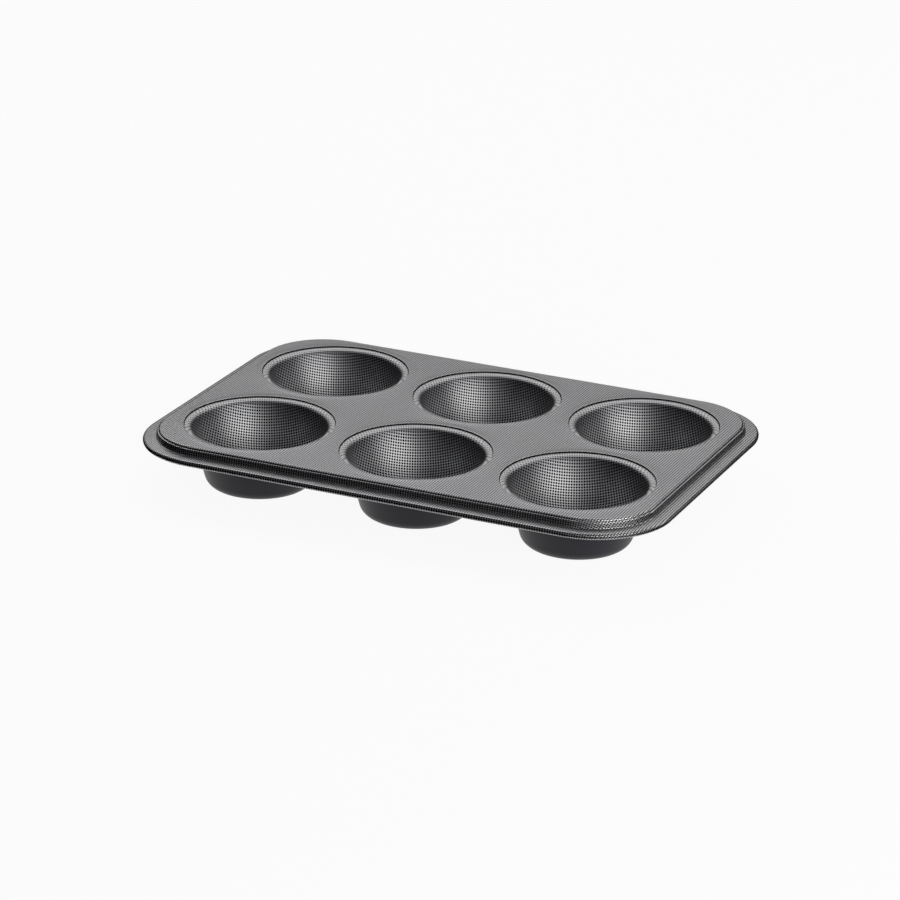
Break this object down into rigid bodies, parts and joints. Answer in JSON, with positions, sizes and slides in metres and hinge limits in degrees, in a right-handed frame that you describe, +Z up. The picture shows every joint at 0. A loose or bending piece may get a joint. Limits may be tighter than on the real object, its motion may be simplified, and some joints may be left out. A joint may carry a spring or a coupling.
{
  "type": "muffin pan",
  "caption": "Shallow rectangular baking pan with rows of round tapered cups seamed into a stepped frame with a rolled edge.",
  "frame": {"origin": "centre of the pan, level with the undersides of the cups", "axes": "+X along the long side, +Y across the two rows towards the back row, +Z up out of the cups"},
  "size_m": [0.2664, 0.1816, 0.0308],
  "materials": {
    "frame_coating": "dark grey non-stick coating on steel, satin, with fine round dots over the upper side",
    "cup_coating": "dark grey non-stick coating on steel, satin, dotted inside and smooth outside",
    "rim_wire": "plain drawn steel wire"
  },
  "bodies": {
    "root": {"frame": "frame_coating", "rim_wire": "rim_wire", "cup_front_left": "cup_coating", "cup_front_middle": "cup_coating", "cup_front_right": "cup_coating", "cup_back_left": "cup_coating", "cup_back_middle": "cup_coating", "cup_back_right": "cup_coating"}
  },
  "joints": []
}
